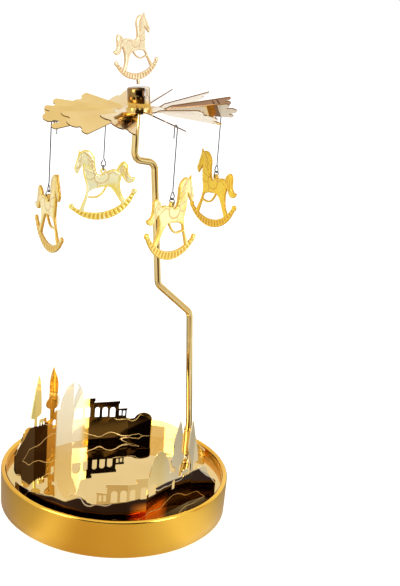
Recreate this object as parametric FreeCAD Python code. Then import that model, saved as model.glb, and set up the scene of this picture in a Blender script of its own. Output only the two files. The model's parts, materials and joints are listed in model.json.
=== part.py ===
import FreeCAD, Part
import math
import os

# Angel chime carousel: a tray for a tealight, ringed by a pierced landscape, with a cranked rod that
# carries a twelve-bladed fan. Four rocking horses hang from the blades and a fifth stands on the hub.
# Lengths are millimetres and angles are degrees. +Z is up and the origin is the middle of the
# underside. +X is the viewer's right and -Y faces the viewer. An azimuth is counted from +X to +Y.

Vector = FreeCAD.Vector
UP = Vector(0, 0, 1)
FULL_TURN = 360.0

# Clearances
overrun = 1.0
slide_fit = 0.05
pivot_gap = 0.03
hook_play = 0.07
ring_play = 0.08
seat_gap = 0.02
assembly_gap = 0.1

# Tray
tray_radius = 42.0
tray_height = 14.5
tray_draft = 0.3
tray_sheet = 0.5
lip_width = 2.0
foot_turn = 2.2
foot_bend = 0.8
floor_height = 10.9
floor_sheet = 0.5
ledge_width = 0.9
bead_side_count = 8
hem_side_count = 3

# Landscape strips
strip_sheet = 0.4
landscape_height = 34.1
tab_bury = 0.8
tab_width = 3.3
tab_turn = 2.0
tab_azimuths = (172.0, 93.0, 31.0)

# Rod and its socket
rod_radius = 1.25
rod_azimuth = 32.0
rod_foot_inset = 9.7
rod_knee_height = 26.5
rod_knee_bend = 40.0
rod_elbow_bend = 4.0
rod_neck_bend = 3.2
rod_lower_elbow_setback = 3.95
rod_lower_elbow_height = 71.4
rod_upper_elbow_reach = 13.25
rod_upper_elbow_height = 84.1
rod_shoulder_reach = 8.3
rod_shoulder_drop = 18.4
rod_neck_drop = 17.0
needle_length = 4.0
needle_tip_radius = 0.15
socket_radius = 1.7
socket_height = 12.3
socket_depth = 11.5
socket_lip_radius = 1.95
socket_lip_height = 0.8
socket_neck_radius = 1.5
socket_neck_height = 1.4
socket_flare_height = 0.8
socket_flange_radius = 2.5
socket_flange_height = 0.6
stud_radius = 1.5
stud_extra = 0.8
washer_radius = 3.5
washer_thickness = 0.6
nut_across_flats = 5.5
nut_height = 2.4
nut_side_count = 6

# Rotor
rotor_height = 147.2
rotor_lean = 5.8
fan_sheet = 0.4
fan_disc_radius = 8.3
blade_count = 12
first_blade_azimuth = 18.0
blade_pitch = 28.0
blade_reach = 33.2
blade_corner_setback = 2.8
blade_root_half_width = 1.5
blade_corner_half_width = 6.5
blade_neck_length = 0.1
blade_twist_length = 2.4
notch_depth = 3.0
notch_inner_share = 0.354
notch_outer_share = 0.538
side_lobe_setback = 1.8
side_lobe_share = 0.785
hook_hole_radius = 0.65
hook_rim_width = 0.5
hook_count = 4
hub_radius = 3.9
hub_body_height = 6.4
hub_bore_radius = 2.5
hub_top_thickness = 1.2
hub_edge_round = 0.4
hub_spigot_radius = 2.95
hub_rivet_radius = 3.6
hub_rivet_thickness = 0.5
bearing_radius = 1.0
bearing_depth = 0.5
collar_radius = 4.5
collar_height = 1.2

# Hanging wires and jump rings
wire_radius = 0.2
hook_bend = 1.0
hook_free_leg = 3.5
wire_drop = 23.4
loop_bend = 0.9
loop_height = 3.1
loop_neck_bend = 1.0
loop_end_height = 2.5
ring_bend = 0.95
ring_wire_radius = 0.2
wire_side_count = 6

# Rocking horses
horse_length = 24.5
horse_plate = 0.6
eyelet_radius = 1.15
eyelet_hole_radius = 0.55
eyelet_height = 10.75
eyelet_place = 2.45
top_horse_share = 0.77
top_stem_radius = 0.6
top_stem_foot_radius = 1.3
top_stem_foot_height = 0.4
top_stem_height = 2.5
top_horse_heading = 45.0
horse_headings = (125.0, 195.0, -65.0, 49.0)
horse_tilts = (8.0, 13.5, 3.0, 8.0)
unit_names = ("right", "rear", "left", "front")

# Places that several pieces share
tray_inner_radius = tray_radius - lip_width
rod_foot_reach = tray_radius - rod_foot_inset
floor_underside = floor_height - floor_sheet
socket_top = floor_height + socket_height
socket_bore_floor = socket_top - socket_depth
needle_seat_height = collar_height + hub_body_height - hub_top_thickness + bearing_depth - seat_gap
needle_point = Vector(0, 0, rotor_height + needle_seat_height)
rod_direction = Vector(math.cos(math.radians(rod_azimuth)), math.sin(math.radians(rod_azimuth)), 0)
blade_corner_reach = blade_reach - blade_corner_setback
notch_reach = blade_reach - notch_depth
side_lobe_reach = blade_reach - side_lobe_setback
notch_inner_offset = blade_corner_half_width * notch_inner_share
notch_outer_offset = blade_corner_half_width * notch_outer_share
side_lobe_offset = blade_corner_half_width * side_lobe_share
blade_azimuths = [first_blade_azimuth + FULL_TURN / blade_count * i for i in range(blade_count)]
hooked_azimuths = blade_azimuths[::blade_count // hook_count]
hook_offset = (notch_inner_offset + notch_outer_offset) / 2
hook_hole_reach = notch_reach - hook_rim_width - hook_hole_radius
hook_rim_reach = notch_reach - hook_rim_width / 2

# Folds of the two strips, with the azimuth and the reach of the inner face as a share of tray_radius.
# The front strip is written like the rear one and then stands half a turn round the tray.
rear_fold_shares = (
    (177, 0.898), (158, 0.802), (147, 0.757), (139, 0.743), (125, 0.729), (112, 0.731), (83, 0.793),
    (69, 0.893), (60, 0.905), (52, 0.925), (27, 0.920),
)
front_fold_shares = (
    (164.5, 0.915), (146.5, 0.774), (107.5, 0.888), (97, 0.903), (86, 0.912), (75, 0.915), (64, 0.915),
    (53, 0.915), (42, 0.915), (31, 0.915), (20, 0.915),
)
# Landscape, with the azimuth on the rear strip and the height as a share of landscape_height. The
# front strip has it at the same lengths along the sheet. Each hill is an arc through its start, its
# middle and its end.
hill_shares = (
    ((175.0, 0.168), (172.6, 0.205), (169.5, 0.296)),
    ((169.5, 0.296), (166.4, 0.366), (161.8, 0.357)),
    ((161.8, 0.357), (157.6, 0.336), (154.1, 0.327)),
    ((154.1, 0.327), (145.7, 0.360), (136.0, 0.366)),
    ((136.0, 0.366), (125.9, 0.377), (115.8, 0.343)),
    ((115.8, 0.343), (108.3, 0.293), (99.7, 0.273)),
    ((99.7, 0.273), (91.2, 0.257), (84.3, 0.240)),
    ((84.3, 0.240), (81.1, 0.227), (79.0, 0.232)),
    ((79.0, 0.232), (73.2, 0.298), (68.8, 0.202)),
    ((68.8, 0.202), (60.2, 0.209), (52.9, 0.179)),
    ((52.9, 0.179), (45.4, 0.141), (38.0, 0.129)),
    ((38.0, 0.129), (33.0, 0.118), (28.0, 0.100)),
)
hill_lap = 1.0
hill_lap_share = 0.85
cypress_shares = (
    ((161.8, 0.456), (157.2, 0.444), (153.1, 0.480)),
    ((153.1, 0.480), (153.1, 0.575), (153.5, 0.695), (154.3, 0.841), (155.7, 0.945)),
    ((155.7, 0.945), (157.6, 0.808), (159.7, 0.664), (161.3, 0.542), (161.8, 0.456)),
)
poplar_shares = (
    ((143.5, 1.000), (145.4, 0.917), (146.5, 0.796), (146.3, 0.676), (146.8, 0.627)),
    ((146.8, 0.627), (149.1, 0.570), (146.8, 0.507)),
    ((146.8, 0.507), (143.3, 0.481), (139.6, 0.492)),
    ((139.6, 0.492), (137.1, 0.576), (139.3, 0.648)),
    ((139.3, 0.648), (138.7, 0.745), (139.6, 0.843), (141.5, 0.916), (143.5, 1.000)),
)
bush_shares = (((140.2, 0.341), (137.9, 0.455), (135.8, 0.341)),)
round_tree_shares = (
    ((136.0, 0.440), (135.1, 0.575), (132.4, 0.660), (129.8, 0.719), (125.9, 0.748)),
    ((125.9, 0.748), (121.5, 0.726), (118.4, 0.637), (116.8, 0.541), (115.8, 0.440)),
)
# Blocks are first azimuth, last azimuth, lower height share and upper height share.
block_shares = (
    (158.1, 156.4, 0.245, 0.486),
    (154.1, 148.5, 0.245, 0.407),
    (145.1, 141.5, 0.245, 0.515),
    (136.0, 115.8, 0.240, 0.463),
    (116.5, 108.3, 0.200, 0.477),
    (117.4, 107.6, 0.475, 0.513),
    (108.6, 89.8, 0.200, 0.427),
    (109.3, 89.1, 0.425, 0.458),
    (90.0, 84.3, 0.200, 0.342),
    (90.5, 83.9, 0.341, 0.361),
)
window_shares = (
    (153.3, 152.0, 0.322, 0.368),
    (151.2, 149.7, 0.324, 0.370),
    (89.5, 87.9, 0.275, 0.342),
    (86.9, 85.3, 0.269, 0.335),
)
arch_shares = (
    (142.7, 139.6, 0.241, 0.347),
    (124.0, 116.8, 0.282, 0.417),
    (115.2, 111.0, 0.277, 0.415),
    (107.6, 103.9, 0.275, 0.402),
    (102.0, 97.8, 0.271, 0.398),
    (96.2, 92.2, 0.263, 0.390),
)

# Horse outline, as shares of horse_length from the middle of the rocker's chord. The head is at -X.
horse_body_shares = (
    ((-0.205, 0.842), (-0.185, 0.796)),
    ((-0.185, 0.796), (-0.120, 0.812), (-0.064, 0.795), (-0.015, 0.741), (0.009, 0.678),
     (0.001, 0.591), (-0.007, 0.504), (0.002, 0.420)),
    ((0.002, 0.420), (0.068, 0.394), (0.129, 0.410), (0.200, 0.431), (0.256, 0.431),
     (0.315, 0.407), (0.349, 0.357), (0.357, 0.298), (0.327, 0.218), (0.310, 0.125),
     (0.315, 0.027), (0.347, -0.063), (0.395, -0.125)),
    ((0.395, -0.125), (0.302, -0.140)),
    ((0.302, -0.140), (0.265, -0.065), (0.233, 0.025), (0.194, 0.117), (0.154, 0.176)),
    ((0.154, 0.176), (0.087, 0.199), (-0.008, 0.205), (-0.107, 0.199), (-0.180, 0.171)),
    ((-0.180, 0.171), (-0.253, 0.020), (-0.329, -0.136)),
    ((-0.329, -0.136), (-0.371, -0.084)),
    ((-0.371, -0.084), (-0.312, 0.013), (-0.257, 0.095), (-0.211, 0.188), (-0.194, 0.264),
     (-0.200, 0.363), (-0.205, 0.461), (-0.181, 0.608)),
    ((-0.181, 0.608), (-0.225, 0.564), (-0.295, 0.486)),
    ((-0.295, 0.486), (-0.324, 0.543), (-0.300, 0.617)),
    ((-0.300, 0.617), (-0.264, 0.690), (-0.226, 0.767), (-0.205, 0.842)),
)
horse_tail_shares = (
    ((0.300, 0.380), (0.358, 0.476), (0.434, 0.516)),
    ((0.434, 0.516), (0.486, 0.452), (0.476, 0.347), (0.500, 0.262), (0.568, 0.240)),
    ((0.568, 0.240), (0.483, 0.167), (0.420, 0.190), (0.385, 0.260), (0.300, 0.330)),
)
girth_hoop_shares = (
    ((0.125, 0.210), (0.048, 0.116), (-0.021, 0.071), (-0.098, 0.055), (-0.165, 0.070),
     (-0.245, 0.085)),
    ((-0.235, 0.112), (-0.165, 0.100), (-0.098, 0.084), (-0.021, 0.098), (0.040, 0.142),
     (0.090, 0.210)),
)
rocker_end_shares = ((-0.470, -0.012), (0.500, 0.009))
rocker_low_share = (0.0, -0.242)
rocker_end_width_share = 0.05
rocker_middle_width_share = 0.116
rocker_ball_shares = ((-0.476, 0.008), (0.512, 0.022))
rocker_ball_radius_share = 0.042


def line(start, end):
    """Straight edge."""
    return Part.LineSegment(start, end).toShape()


def arc(start, middle, end):
    """Round edge through three points."""
    return Part.Arc(start, middle, end).toShape()


def curve(points):
    """Edge through the points: a line, an arc or, for more points, a smooth curve."""
    if len(points) == 2:
        return line(*points)
    if len(points) == 3:
        return arc(*points)
    spline = Part.BSplineCurve()
    spline.interpolate(points)
    return spline.toShape()


def outline_face(runs):
    """Flat face inside runs of points, closed by straight edges wherever two runs don't meet."""
    edges = []
    for run, following in zip(runs, runs[1:] + runs[:1]):
        edges.append(curve(run))
        if (following[0] - run[-1]).Length > Part.Precision.confusion():
            edges.append(line(run[-1], following[0]))
    return Part.Face(Part.Wire(edges))


def rounded_run(points, bends):
    """Edges of a path through the points, with each inner corner rounded to its bend radius."""
    edges = []
    last = points[0]
    for before, corner, after, bend in zip(points, points[1:], points[2:], bends):
        arriving = (corner - before).normalize()
        leaving = (after - corner).normalize()
        turn = arriving.getAngle(leaving)
        setback = bend * math.tan(turn / 2)
        arc_start = corner - arriving * setback
        arc_end = corner + leaving * setback
        inward = (leaving - arriving).normalize()
        centre = corner + inward * (bend / math.cos(turn / 2))
        if (arc_start - last).Length > Part.Precision.confusion():
            edges.append(line(last, arc_start))
        edges.append(arc(arc_start, centre - inward * bend, arc_end))
        last = arc_end
    if (points[-1] - last).Length > Part.Precision.confusion():
        edges.append(line(last, points[-1]))
    return edges


def swept_bar(edges, section):
    """Bar along the edges from a section drawn round +X at the origin."""
    path = Part.Wire(edges)
    first = path.OrderedEdges[0]
    start = first.valueAt(first.FirstParameter)
    tangent = first.tangentAt(first.FirstParameter)
    section.Placement = FreeCAD.Placement(start, FreeCAD.Rotation(Vector(1, 0, 0), tangent))
    return path.makePipeShell([section], True, False)


def wire_section(radius):
    """Section of thin wire, as a polygon round +X."""
    turns = [FULL_TURN / wire_side_count * i for i in range(wire_side_count)]
    corners = [Vector(0, radius * math.cos(math.radians(turn)), radius * math.sin(math.radians(turn)))
               for turn in turns]
    return Part.makePolygon(corners + corners[:1])


def turned(profile):
    """Solid of revolution about the Z axis from a closed run of (radius, height) points."""
    points = [Vector(radius, 0, height) for radius, height in profile]
    wire = Part.makePolygon(points + points[:1])
    return Part.Face(wire).revolve(Vector(0, 0, 0), UP, FULL_TURN)


def at_azimuth(radius, azimuth, height):
    """Point at a radius, azimuth and height."""
    angle = math.radians(azimuth)
    return Vector(radius * math.cos(angle), radius * math.sin(angle), height)


def fused(shapes):
    """One clean solid from overlapping solids."""
    joined = shapes[0].multiFuse(shapes[1:]).removeSplitter()
    return joined.Solids[0] if len(joined.Solids) == 1 else joined


def bead_run(middle, height, radius, count):
    """Points over the round of a bead, from its outer side to its inner side."""
    turns = [math.pi * i / count for i in range(count + 1)]
    return [(middle + radius * math.cos(turn), height + radius * math.sin(turn)) for turn in turns]


def tray_shell():
    """Outer wall with its foot turned in, its lip rolled over and a ledge for the floor."""
    foot = tray_radius - tray_draft
    bead = lip_width / 2
    rise = tray_height - bead
    middle = tray_radius - bead
    ledge = tray_inner_radius - ledge_width
    low = floor_underside - tray_sheet
    profile = [(foot - foot_turn, 0), (foot - foot_bend, 0), (foot, foot_bend)]
    profile += bead_run(middle, rise, bead, bead_side_count)
    profile += [(tray_inner_radius, floor_underside), (ledge, floor_underside), (ledge, low),
                (tray_inner_radius + tray_sheet, low)]
    profile += reversed(bead_run(middle, rise, bead - tray_sheet, hem_side_count))
    profile += [(foot - tray_sheet, foot_bend), (foot - foot_bend, tray_sheet),
                (foot - foot_turn, tray_sheet)]
    return turned(profile)


def fold_points(fold_shares, offset):
    """Plan of a strip at an offset outward from its inner face, with mitred folds."""
    plan = [at_azimuth(tray_radius * share, azimuth, 0) for azimuth, share in fold_shares]
    ways = [(following - point).normalize() for point, following in zip(plan, plan[1:])]
    points = []
    for point, before, after in zip(plan, ways[:1] + ways, ways + ways[-1:]):
        half_turn = before.getAngle(after) / 2
        outward = UP.cross(before + after).normalize()
        points.append(point + outward * (offset / math.cos(half_turn)))
    return points


def folded_band(fold_shares, inner_offset, outer_offset, low, high):
    """Folded wall between two offsets from its inner face and between two heights."""
    corners = fold_points(fold_shares, inner_offset) + fold_points(fold_shares, outer_offset)[::-1]
    wall = Part.Face(Part.makePolygon(corners + corners[:1])).extrude(UP * (high - low))
    wall.translate(UP * low)
    return wall


def sheet_length(azimuth):
    """Length of the rear strip from its start to an azimuth."""
    way = at_azimuth(1, azimuth, 0)
    plan = fold_points(rear_fold_shares, 0)
    run = 0
    for start, end in zip(plan, plan[1:]):
        if end is plan[-1] or UP.dot(way.cross(end)) <= 0:
            break
        run += (end - start).Length
    across = UP.cross(end - start).normalize()
    return run + (way * (across.dot(start) / across.dot(way)) - start).Length


def strip_place(fold_shares, azimuth):
    """Point of a strip's inner face that an azimuth of the rear strip stands for."""
    run = sheet_length(azimuth)
    plan = fold_points(fold_shares, 0)
    for start, end in zip(plan, plan[1:]):
        panel = (end - start).Length
        if end is plan[-1] or run <= panel:
            break
        run -= panel
    return start + (end - start).normalize() * run


def tab_cuts(fold_shares, inner_offset, outer_offset, low, high, clearance):
    """A strip's tabs as pieces of its wall between two offsets and two heights."""
    wall = folded_band(fold_shares, inner_offset, outer_offset, low, high)
    half = tab_width / 2 + clearance
    cuts = []
    for azimuth in tab_azimuths:
        middle = strip_place(fold_shares, azimuth)
        outward = Vector(middle).normalize()
        along = UP.cross(outward)
        near = outward * (middle.Length - tab_turn - overrun)
        far = outward * (middle.Length + tab_turn + overrun)
        corners = [near - along * half, far - along * half, far + along * half, near + along * half]
        block = Part.Face(Part.makePolygon(corners + corners[:1])).extrude(UP * (high + overrun))
        cuts.append(wall.common(block))
    return cuts


def mirror_floor():
    """Polished disc on the ledge, with slots for the six tabs and a hole for the socket's stud."""
    radius = tray_inner_radius - assembly_gap
    disc = Part.makeCylinder(radius, floor_sheet, UP * floor_underside)
    span = (-assembly_gap, strip_sheet + assembly_gap, floor_underside - overrun, floor_height + overrun)
    slots = tab_cuts(rear_fold_shares, *span, assembly_gap)
    for slot in tab_cuts(front_fold_shares, *span, assembly_gap):
        slot.rotate(Vector(0, 0, 0), UP, FULL_TURN / 2)
        slots.append(slot)
    foot = at_azimuth(rod_foot_reach, rod_azimuth, floor_underside - overrun)
    slots.append(Part.makeCylinder(stud_radius + assembly_gap, floor_sheet + 2 * overrun, foot))
    return disc.cut(slots)


def strip_prism(runs, fold_shares):
    """Prism through the landscape's wall from runs of (azimuth, height share) points."""
    azimuths = [azimuth for run in runs for azimuth, share in run]
    outward = Vector(strip_place(fold_shares, (min(azimuths) + max(azimuths)) / 2)).normalize()
    along = UP.cross(outward)
    reaches = [outward.dot(strip_place(fold_shares, azimuth)) for azimuth in azimuths]
    start = min(reaches) - strip_sheet - overrun

    def corner(azimuth, share):
        aside = along.dot(strip_place(fold_shares, azimuth))
        return outward * start + along * aside + UP * (floor_height + landscape_height * share)

    face = outline_face([[corner(*point) for point in run] for run in runs])
    return face.extrude(outward * (max(reaches) + 2 * (strip_sheet + overrun) - start))


def hill_runs(hill):
    """One hill down to the floor, with a lower lap under each neighbour."""
    (first, first_high), (last, last_high) = hill[0], hill[-1]
    return [[(first + hill_lap, 0), (first + hill_lap, first_high * hill_lap_share)], list(hill),
            [(last - hill_lap, last_high * hill_lap_share), (last - hill_lap, 0)]]


def block_runs(first, last, low, high):
    """Rectangle between two azimuths and two height shares."""
    return [[(first, low), (first, high)], [(last, high), (last, low)]]


def arch_runs(first, last, low, high):
    """Opening with a round head between two azimuths and two height shares."""
    middle = (first + last) / 2
    half_width = (sheet_length(last) - sheet_length(first)) / 2
    spring = high - half_width / landscape_height
    return [[(first, low), (first, spring)], [(first, spring), (middle, high), (last, spring)],
            [(last, spring), (last, low)]]


def landscape_strip(fold_shares):
    """Pierced landscape on a folded strip: hills, cypress, poplar, round tree, castle and loggia."""
    top = floor_height + landscape_height + overrun
    wall = folded_band(fold_shares, 0, strip_sheet, floor_height, top)
    forms = [strip_prism(hill_runs(hill), fold_shares) for hill in hill_shares]
    forms += [strip_prism([list(run) for run in shares], fold_shares)
              for shares in (cypress_shares, poplar_shares, bush_shares, round_tree_shares)]
    forms += [strip_prism(block_runs(*shares), fold_shares) for shares in block_shares]
    patches = [wall.common(form) for form in forms]
    pierced = [strip_prism(block_runs(*shares), fold_shares) for shares in window_shares]
    pierced += [strip_prism(arch_runs(*shares), fold_shares) for shares in arch_shares]
    body = fused(patches).cut(pierced)
    foot_low = floor_underside - seat_gap - strip_sheet
    stems = tab_cuts(fold_shares, 0, strip_sheet, foot_low, floor_height + tab_bury, 0)
    feet = tab_cuts(fold_shares, strip_sheet - tab_turn, strip_sheet, foot_low, foot_low + strip_sheet, 0)
    return fused([body] + stems + feet)


def rod_socket():
    """Socket that stands on the floor, with a stud that passes through it."""
    bore = rod_radius + slide_fit
    neck_top = floor_height + socket_flange_height + socket_neck_height
    stud_end = floor_underside - washer_thickness - nut_height - stud_extra
    profile = [
        (0, stud_end),
        (stud_radius, stud_end),
        (stud_radius, floor_height),
        (socket_flange_radius, floor_height),
        (socket_flange_radius, floor_height + socket_flange_height),
        (socket_neck_radius, floor_height + socket_flange_height),
        (socket_neck_radius, neck_top),
        (socket_radius, neck_top + socket_flare_height),
        (socket_radius, socket_top - socket_lip_height),
        (socket_lip_radius, socket_top - socket_lip_height / 2),
        (socket_lip_radius, socket_top),
        (bore, socket_top),
        (bore, socket_bore_floor),
        (0, socket_bore_floor),
    ]
    socket = turned(profile)
    socket.translate(rod_direction * rod_foot_reach)
    return socket


def socket_washer():
    """Washer under the floor."""
    low = floor_underside - washer_thickness
    foot = at_azimuth(rod_foot_reach, rod_azimuth, low)
    disc = Part.makeCylinder(washer_radius, washer_thickness, foot)
    return disc.cut(Part.makeCylinder(stud_radius + assembly_gap, washer_thickness, foot))


def socket_nut():
    """Hexagon nut under the washer."""
    low = floor_underside - washer_thickness - nut_height
    foot = at_azimuth(rod_foot_reach, rod_azimuth, low)
    step = FULL_TURN / nut_side_count
    corner = nut_across_flats / 2 / math.cos(math.radians(step / 2))
    corners = [foot + at_azimuth(corner, step * i, 0) for i in range(nut_side_count)]
    prism = Part.Face(Part.makePolygon(corners + corners[:1])).extrude(UP * nut_height)
    return prism.cut(Part.makeCylinder(stud_radius + slide_fit, nut_height, foot))


def support_rod():
    """Cranked rod from the socket to the needle point under the hub."""
    shaft_top = needle_point.z - needle_length

    def p(reach, height):
        return rod_direction * reach + UP * height

    points = [
        p(rod_foot_reach, socket_bore_floor + seat_gap),
        p(rod_foot_reach, rod_knee_height),
        p(rod_foot_reach - rod_lower_elbow_setback, rod_lower_elbow_height),
        p(rod_upper_elbow_reach, rod_upper_elbow_height),
        p(rod_shoulder_reach, rotor_height - rod_shoulder_drop),
        p(0, rotor_height - rod_neck_drop),
        p(0, shaft_top),
    ]
    bends = [rod_knee_bend, rod_elbow_bend, rod_elbow_bend, rod_neck_bend, rod_neck_bend]
    section = Part.Wire([Part.makeCircle(rod_radius, Vector(0, 0, 0), Vector(1, 0, 0))])
    shaft = swept_bar(rounded_run(points, bends), section)
    needle = Part.makeCone(rod_radius, needle_tip_radius, needle_length, Vector(0, 0, shaft_top))
    return fused([shaft, needle])


def leaned(shape):
    """Rotor piece, tipped about the needle point so that its left side hangs low."""
    shape.rotate(needle_point, Vector(0, 1, 0), -rotor_lean)
    return shape


def leaned_point(point):
    """Place on the rotor after its lean."""
    turn = FreeCAD.Rotation(Vector(0, 1, 0), -rotor_lean)
    return needle_point + turn.multVec(point - needle_point)


def hub_cup():
    """Turned cup over the needle, riveted over under the fan, with a bearing dimple inside."""
    low = -fan_sheet - hub_rivet_thickness
    top = collar_height + hub_body_height
    roof = top - hub_top_thickness
    profile = [
        (hub_bore_radius, low),
        (hub_rivet_radius, low),
        (hub_rivet_radius, -fan_sheet),
        (hub_spigot_radius, -fan_sheet),
        (hub_spigot_radius, collar_height),
        (hub_radius, collar_height),
        (hub_radius, top - hub_edge_round),
        (hub_radius - hub_edge_round, top),
        (0, top),
        (0, roof + bearing_depth),
        (needle_tip_radius + slide_fit, roof + bearing_depth),
        (bearing_radius, roof),
        (hub_bore_radius, roof),
    ]
    return leaned(turned([(radius, rotor_height + height) for radius, height in profile]))


def fan_collar():
    """Collar between the fan and the hub's shoulder."""
    low = UP * rotor_height
    ring = Part.makeCylinder(collar_radius, collar_height, low)
    return leaned(ring.cut(Part.makeCylinder(hub_spigot_radius + slide_fit, collar_height, low)))


def blade_half_width(reach):
    """Half of the blade's width where its sides run straight."""
    run = (reach - fan_disc_radius) / (blade_corner_reach - fan_disc_radius)
    return blade_root_half_width + run * (blade_corner_half_width - blade_root_half_width)


def blade_section(reach, pitch):
    """Cross-section of the sheet at one reach, turned to a pitch."""
    half_width = blade_half_width(reach)
    half_sheet = fan_sheet / 2
    corners = [Vector(reach, -half_width, -half_sheet), Vector(reach, half_width, -half_sheet),
               Vector(reach, half_width, half_sheet), Vector(reach, -half_width, half_sheet)]
    section = Part.makePolygon(corners + corners[:1])
    section.rotate(Vector(0, 0, 0), Vector(1, 0, 0), -pitch)
    return section


def fan_blade(with_hole):
    """Blade along +X with a twisted root, a pitched plate and a tip of three lobes."""
    twist_start = fan_disc_radius + blade_neck_length
    plate_start = twist_start + blade_twist_length
    sections = [blade_section(fan_disc_radius - overrun, 0), blade_section(twist_start, 0),
                blade_section(plate_start, blade_pitch)]
    root = Part.makeLoft(sections, True, True)
    half_sheet = fan_sheet / 2

    def p(reach, offset):
        return Vector(reach, offset, -half_sheet)

    half_root = blade_half_width(plate_start)
    lobe = [p(notch_reach, notch_outer_offset), p(side_lobe_reach, side_lobe_offset),
            p(blade_corner_reach, blade_corner_half_width)]
    mirrored = [Vector(point.x, -point.y, point.z) for point in reversed(lobe)]
    runs = [
        [p(plate_start, -half_root), mirrored[0]],
        mirrored,
        [mirrored[-1], p(notch_reach, -notch_inner_offset)],
        [p(notch_reach, -notch_inner_offset), p(blade_reach, 0), p(notch_reach, notch_inner_offset)],
        [p(notch_reach, notch_inner_offset), lobe[0]],
        lobe,
        [lobe[-1], p(plate_start, half_root)],
    ]
    plate = outline_face(runs).extrude(UP * fan_sheet)
    if with_hole:
        place = Vector(hook_hole_reach, hook_offset, -overrun)
        plate = plate.cut(Part.makeCylinder(hook_hole_radius, 2 * overrun, place))
    plate.rotate(Vector(0, 0, 0), Vector(1, 0, 0), -blade_pitch)
    return fused([root, plate])


def chime_fan():
    """Fan cut and twisted from one sheet."""
    middle = rotor_height - fan_sheet / 2
    disc = Part.makeCylinder(fan_disc_radius, fan_sheet, Vector(0, 0, -fan_sheet / 2))
    blades = []
    for azimuth in blade_azimuths:
        blade = fan_blade(azimuth in hooked_azimuths)
        blade.rotate(Vector(0, 0, 0), UP, azimuth)
        blades.append(blade)
    fan = fused([disc] + blades)
    bore = Part.makeCylinder(hub_spigot_radius + slide_fit, 2 * overrun, Vector(0, 0, -overrun))
    fan = fan.cut(bore)
    fan.translate(Vector(0, 0, middle))
    return leaned(fan)


def hook_rim_point(azimuth):
    """Middle of the sheet's rim that a hook hangs on, on the blade at this azimuth."""
    pitch = math.radians(blade_pitch)
    aside = hook_offset * math.cos(pitch)
    drop = hook_offset * math.sin(pitch)
    angle = math.radians(azimuth)
    x = hook_rim_reach * math.cos(angle) - aside * math.sin(angle)
    y = hook_rim_reach * math.sin(angle) + aside * math.cos(angle)
    return leaned_point(Vector(x, y, rotor_height - fan_sheet / 2 - drop))


def heading_vector(heading):
    """Level direction that a horse faces."""
    return at_azimuth(1, heading, 0)


def hook_outward(azimuth):
    """Level direction from the axis to the hook."""
    rim = hook_rim_point(azimuth)
    return Vector(rim.x, rim.y, 0).normalize()


def hook_crown(azimuth):
    """Top of the hook's middle line, clear of the rim's upper corners."""
    inside = hook_bend - wire_radius
    sagitta = inside - math.sqrt(inside ** 2 - (hook_rim_width / 2) ** 2)
    lift = (fan_sheet / 2 + wire_radius) / math.cos(math.radians(blade_pitch))
    return hook_rim_point(azimuth) + UP * (lift + sagitta + hook_play)


def loop_bottom(azimuth):
    """Middle of the wire at the lowest point of its loop."""
    return hook_rim_point(azimuth) + hook_outward(azimuth) * hook_bend - UP * (wire_drop - wire_radius)


def hanger_wire(azimuth, heading):
    """Wire with a hook over the blade's rim and a drop-shaped loop at its foot."""
    outward = hook_outward(azimuth)
    crown = hook_crown(azimuth)
    foot = loop_bottom(azimuth)
    along = heading_vector(heading)
    taper = math.asin(loop_bend / (loop_height - loop_bend))

    def in_loop(side, height):
        return foot + along * side + UP * height

    left = in_loop(-loop_bend * math.cos(taper), loop_bend + loop_bend * math.sin(taper))
    right = in_loop(loop_bend * math.cos(taper), loop_bend + loop_bend * math.sin(taper))
    slope = (loop_height - loop_end_height) * math.tan(taper)
    points = [crown - outward * hook_bend - UP * (hook_bend + hook_free_leg), crown - outward * hook_bend,
              crown + outward * hook_bend, in_loop(0, loop_height), left]
    edges = rounded_run(points, [hook_bend, hook_bend, loop_neck_bend])
    edges.append(arc(left, in_loop(0, 0), right))
    edges.append(line(right, in_loop(slope, loop_end_height)))
    return swept_bar(edges, wire_section(wire_radius))


def ring_middle(azimuth):
    """Middle of the jump ring, whose top lies in the wire's loop."""
    rise = wire_radius + ring_wire_radius + pivot_gap
    return loop_bottom(azimuth) + UP * (rise - ring_bend)


def ring_bottom(azimuth):
    """Lowest point of the jump ring's middle line, which the horse rocks about."""
    return ring_middle(azimuth) - UP * ring_bend


def jump_ring(azimuth, heading):
    """Small ring between a wire's loop and a horse."""
    section = wire_section(ring_wire_radius)
    section.rotate(Vector(0, 0, 0), Vector(0, 1, 0), FULL_TURN / 4)
    section.translate(Vector(0, ring_bend, 0))
    ring = Part.Face(section).revolve(Vector(0, 0, 0), Vector(1, 0, 0), FULL_TURN)
    ring.rotate(Vector(0, 0, 0), UP, heading)
    ring.translate(ring_middle(azimuth))
    return ring


def horse_points(runs, length):
    """Runs of outline shares as points on the horse's own plane."""
    return [[Vector(x * length, y * length, 0) for x, y in run] for run in runs]


def rocker_band(length):
    """Bowed rocker, broadest in the middle, with a ball at each end."""
    ends = [Vector(x * length, y * length, 0) for x, y in rocker_end_shares]
    low = Vector(rocker_low_share[0] * length, rocker_low_share[1] * length, 0)
    bow = arc(ends[0], low, ends[1]).Curve
    end_half = rocker_end_width_share * length / 2
    middle_half = rocker_middle_width_share * length / 2
    stations = ((ends[0], end_half), (low, middle_half), (ends[1], end_half))

    def bowed(point, offset):
        ray = (point - bow.Center).normalize()
        return bow.Center + ray * (bow.Radius + offset)

    runs = [
        [bowed(point, half_width) for point, half_width in stations],
        [bowed(point, -half_width) for point, half_width in reversed(stations)],
    ]
    ball_radius = rocker_ball_radius_share * length
    balls = [Part.makeCylinder(ball_radius, horse_plate, Vector(x * length, y * length, 0))
             for x, y in rocker_ball_shares]
    return [outline_face(runs).extrude(UP * horse_plate)] + balls


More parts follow.
